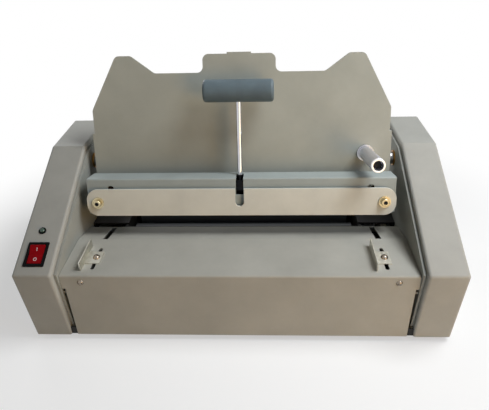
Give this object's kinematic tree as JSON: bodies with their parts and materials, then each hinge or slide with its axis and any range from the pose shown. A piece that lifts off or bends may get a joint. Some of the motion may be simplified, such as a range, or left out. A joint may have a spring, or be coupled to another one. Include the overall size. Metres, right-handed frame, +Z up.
{
  "type": "perfect binding machine",
  "caption": "Tabletop perfect binder: leaning page clamp with T lever swings over a glue tank behind a cover table, between two end housings.",
  "frame": {"origin": "on the ground under the middle of the machine", "axes": "+X to the operator's right, +Y to the back, +Z up; the operator stands at -Y"},
  "size_m": [0.5446, 0.2854, 0.3224],
  "materials": {
    "cover_paint": "satin powder paint, warm light grey",
    "panel_paint": "satin powder paint, putty",
    "plate_paint": "satin powder paint, grey beige",
    "chassis_paint": "satin paint, black",
    "frame_steel": "satin powder paint",
    "zinc_steel": "zinc plated",
    "black_steel": "black oxide",
    "bright_steel": "polished",
    "ground_steel": "ground",
    "spring_steel": "rolled",
    "tank_aluminium": "machined",
    "bush_brass": "machined",
    "foot_rubber": "moulded",
    "black_plastic": "moulded",
    "red_plastic": "moulded, glossy",
    "green_plastic": "moulded, translucent",
    "grey_plastic": "moulded, blue grey",
    "sleeve_plastic": "moulded, grey",
    "gear_nylon": "moulded",
    "board_laminate": "circuit board",
    "heater_ceramic": "cast strip"
  },
  "bodies": {
    "base": {"base_pan": "chassis_paint", "rubber_feet": "foot_rubber", "foot_screws": "zinc_steel", "side_frame_left": "frame_steel", "side_frame_right": "frame_steel", "table_rails": "frame_steel", "end_cover_left": "cover_paint", "end_cover_right": "cover_paint", "end_cover_screws": "zinc_steel", "front_rail": "frame_steel", "table_top": "panel_paint", "table_screws": "zinc_steel", "rear_cover": "cover_paint", "rear_cover_screws": "zinc_steel", "glue_tank": "tank_aluminium", "tank_brackets": "zinc_steel", "tank_heaters": "heater_ceramic", "thermostat": "black_plastic", "doctor_blade": "spring_steel", "roller_bushes": "bush_brass", "drive_motor": "zinc_steel", "motor_bracket": "zinc_steel", "motor_screws": "zinc_steel", "control_board": "board_laminate", "board_standoffs": "black_plastic", "power_inlet": "black_plastic", "switch_housing": "black_plastic", "lamp_bezel": "black_plastic", "lamp_lens": "green_plastic", "pivot_bushes": "bush_brass"},
    "clamp": {"back_plate": "plate_paint", "swing_arm_left": "plate_paint", "swing_arm_right": "plate_paint", "pivot_shafts": "ground_steel", "guide_bushes": "bush_brass", "handle_collar": "ground_steel", "handle_stud": "black_steel"},
    "handle": {"handle_sleeve": "sleeve_plastic"},
    "jaw": {"jaw_channel": "plate_paint", "jaw_front_plate": "panel_paint", "guide_rods": "ground_steel", "jaw_washers": "zinc_steel", "jaw_screws": "zinc_steel", "lever_lugs": "zinc_steel", "lever_pin": "ground_steel"},
    "lever": {"lever_cam": "black_steel", "lever_rod": "bright_steel", "lever_grip": "grey_plastic"},
    "pad": {"pressure_pad": "plate_paint"},
    "stop_left": {"side_stop_left": "bright_steel", "stop_screw_left": "zinc_steel"},
    "stop_right": {"side_stop_right": "bright_steel", "stop_screw_right": "zinc_steel"},
    "rocker": {"switch_rocker": "red_plastic"},
    "roller": {"glue_roller": "ground_steel", "roller_shaft": "ground_steel", "roller_gear": "gear_nylon"},
    "pinion": {"motor_pinion": "gear_nylon"}
  },
  "joints": [
    {"name": "clamp_swing", "type": "hinge", "parent": "base", "child": "clamp", "pos_m": [0, 0.0585, 0.169], "axis": [1, 0, 0], "range_deg": [-20, 15]},
    {"name": "handle_turn", "type": "hinge", "parent": "clamp", "child": "handle", "pos_m": [0.1715, 0.01674, 0.19474], "axis": [0, -0.9659, 0.2588], "continuous": true},
    {"name": "jaw_slide", "type": "slide", "parent": "clamp", "child": "jaw", "axis": [0, -0.9659, 0.2588], "range_m": [-0.013, 0.02]},
    {"name": "lever_turn", "type": "hinge", "parent": "jaw", "child": "lever", "pos_m": [0, -0.00822, 0.15567], "axis": [1, 0, 0], "range_deg": [0, 80]},
    {"name": "pad_slide", "type": "slide", "parent": "jaw", "child": "pad", "axis": [0, -0.9659, 0.2588], "range_m": [0, 0.003]},
    {"name": "stop_slide_left", "type": "slide", "parent": "base", "child": "stop_left", "axis": [0, 1, 0], "range_m": [-0.009, 0.018]},
    {"name": "stop_slide_right", "type": "slide", "parent": "base", "child": "stop_right", "axis": [0, 1, 0], "range_m": [-0.009, 0.018]},
    {"name": "rocker_tip", "type": "hinge", "parent": "base", "child": "rocker", "pos_m": [-0.246, -0.11533, 0.12771], "axis": [1, 0, 0], "range_deg": [-16, 0]},
    {"name": "roller_spin", "type": "hinge", "parent": "base", "child": "roller", "pos_m": [0, 0.0195, 0.068], "axis": [1, 0, 0], "continuous": true},
    {"name": "pinion_spin", "type": "hinge", "parent": "base", "child": "pinion", "pos_m": [0.2, 0.04324, 0.05316], "axis": [1, 0, 0], "continuous": true}
  ],
  "couplings": [
    {"joint": "pad_slide", "follows": "lever_turn", "m_per_rad": 0.0021484},
    {"joint": "pinion_spin", "follows": "roller_spin", "ratio": -2.5}
  ]
}
